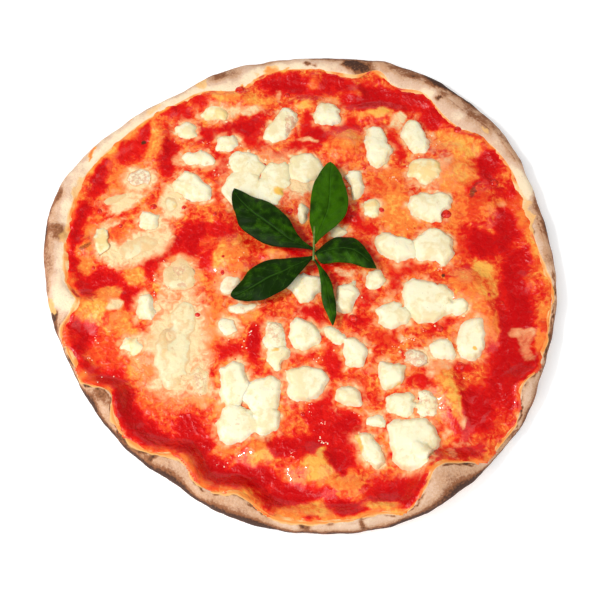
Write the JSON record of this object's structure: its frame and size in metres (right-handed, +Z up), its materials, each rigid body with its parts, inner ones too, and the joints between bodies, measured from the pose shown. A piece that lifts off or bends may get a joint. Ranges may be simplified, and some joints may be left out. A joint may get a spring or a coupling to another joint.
{
  "type": "margherita pizza",
  "caption": "Whole round margherita pizza with a puffed and folded crust, tomato sauce, melted mozzarella pieces and a basil sprig.",
  "frame": {"origin": "middle of the pizza's box, on the surface that it lies on", "axes": "+Z up out of the toppings, -Y towards the folded front of the rim, +X to the right seen from the front"},
  "size_m": [0.326, 0.3254, 0.0197],
  "materials": {
    "baked_dough": "dry baked dough, floury, with brown and charred spots",
    "tomato": "wet cooked tomato sauce with an oily sheen",
    "cheese": "soft melted mozzarella, moist and slightly translucent",
    "basil": "fresh green leaf, satin, with veins"
  },
  "bodies": {
    "root": {"crust": "baked_dough", "tomato_sauce": "tomato", "mozzarella_01": "cheese", "mozzarella_02": "cheese", "mozzarella_03": "cheese", "mozzarella_04": "cheese", "mozzarella_05": "cheese", "mozzarella_06": "cheese", "mozzarella_07": "cheese", "mozzarella_08": "cheese", "mozzarella_09": "cheese", "mozzarella_10": "cheese", "mozzarella_11": "cheese", "mozzarella_12": "cheese", "mozzarella_13": "cheese", "mozzarella_14": "cheese", "mozzarella_15": "cheese", "mozzarella_16": "cheese", "mozzarella_17": "cheese", "mozzarella_18": "cheese", "mozzarella_19": "cheese", "mozzarella_20": "cheese", "mozzarella_21": "cheese", "mozzarella_22": "cheese", "mozzarella_23": "cheese", "mozzarella_24": "cheese", "mozzarella_25": "cheese", "mozzarella_26": "cheese", "mozzarella_27": "cheese", "mozzarella_28": "cheese", "mozzarella_29": "cheese", "mozzarella_30": "cheese", "mozzarella_31": "cheese", "mozzarella_32": "cheese", "mozzarella_33": "cheese", "mozzarella_34": "cheese", "mozzarella_35": "cheese", "mozzarella_36": "cheese", "mozzarella_37": "cheese", "mozzarella_38": "cheese", "mozzarella_39": "cheese", "mozzarella_40": "cheese", "mozzarella_41": "cheese", "mozzarella_42": "cheese", "mozzarella_43": "cheese", "mozzarella_44": "cheese", "mozzarella_45": "cheese", "mozzarella_46": "cheese", "mozzarella_47": "cheese", "mozzarella_48": "cheese", "basil_sprig": "basil"}
  },
  "joints": []
}
